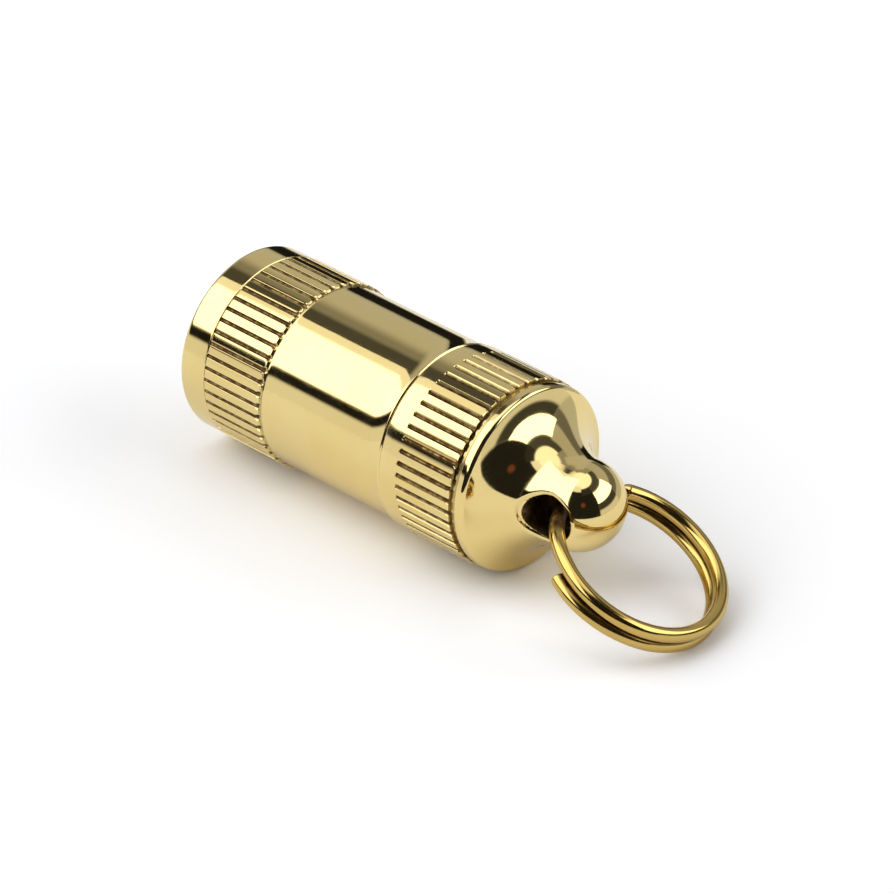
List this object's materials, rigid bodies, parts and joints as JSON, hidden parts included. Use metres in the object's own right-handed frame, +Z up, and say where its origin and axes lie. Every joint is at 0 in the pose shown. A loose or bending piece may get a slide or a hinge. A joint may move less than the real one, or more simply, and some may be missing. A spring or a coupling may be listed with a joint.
{
  "type": "keychain flashlight",
  "caption": "Small round polished gold-coloured keychain torch with two fluted grips, a screw tail cap ending in a drilled ball knob, and a split ring.",
  "frame": {"origin": "on the ground under the middle of the whole object, as it lies on its side", "axes": "+X along the torch's axis from the lens to the split ring, +Z up"},
  "size_m": [0.0502, 0.016, 0.016],
  "materials": {
    "gold_brass": "polished, gold plated",
    "ring_wire": "polished",
    "lens_glass": "clear",
    "seal_rubber": "matt",
    "reflector_mirror": "mirror",
    "led_ceramic": "satin",
    "led_phosphor": "matt",
    "led_silicone": "clear",
    "board": "satin",
    "gilt_copper": "gilt",
    "contact_brass": "turned",
    "resistor_body": "satin",
    "solder": "bright",
    "spring_steel": "bright",
    "sleeve_plastic": "satin",
    "bush_plastic": "satin",
    "cell_can": "nickel plated",
    "cell_seal": "satin",
    "cell_cap": "nickel plated"
  },
  "bodies": {
    "torch": {"body_tube": "gold_brass", "lens": "lens_glass", "lens_gasket": "seal_rubber", "reflector": "reflector_mirror", "led_base": "led_ceramic", "led_phosphor": "led_phosphor", "led_dome": "led_silicone", "led_board": "board", "ground_track": "gilt_copper", "contact_rivet": "contact_brass", "resistor": "resistor_body", "resistor_ends": "solder", "snap_ring": "spring_steel", "insulating_sleeve": "sleeve_plastic", "neck_o_ring": "seal_rubber", "cell_1_can": "cell_can", "cell_1_gasket": "cell_seal", "cell_1_cap": "cell_cap", "cell_2_can": "cell_can", "cell_2_gasket": "cell_seal", "cell_2_cap": "cell_cap", "cell_3_can": "cell_can", "cell_3_gasket": "cell_seal", "cell_3_cap": "cell_cap"},
    "plunger": {"contact_plunger": "contact_brass", "tail_spring": "spring_steel"},
    "cap": {"tail_cap": "gold_brass", "plunger_bush": "bush_plastic"},
    "ring": {"split_ring": "ring_wire"}
  },
  "joints": [
    {"name": "cap_travel", "type": "slide", "parent": "torch", "child": "plunger", "axis": [1, 0, 0], "range_m": [0, 0.00301]},
    {"name": "cap_twist", "type": "hinge", "parent": "plunger", "child": "cap", "pos_m": [0.00485, 0, 0.008], "axis": [1, 0, 0], "range_deg": [0, 1440]},
    {"name": "ring_swing", "type": "hinge", "parent": "cap", "child": "ring", "pos_m": [0.01187, 0, 0.008], "axis": [0, -1, 0], "range_deg": [-92, 112]}
  ],
  "couplings": [
    {"joint": "cap_travel", "follows": "cap_twist", "m_per_rad": 0.00011937}
  ]
}
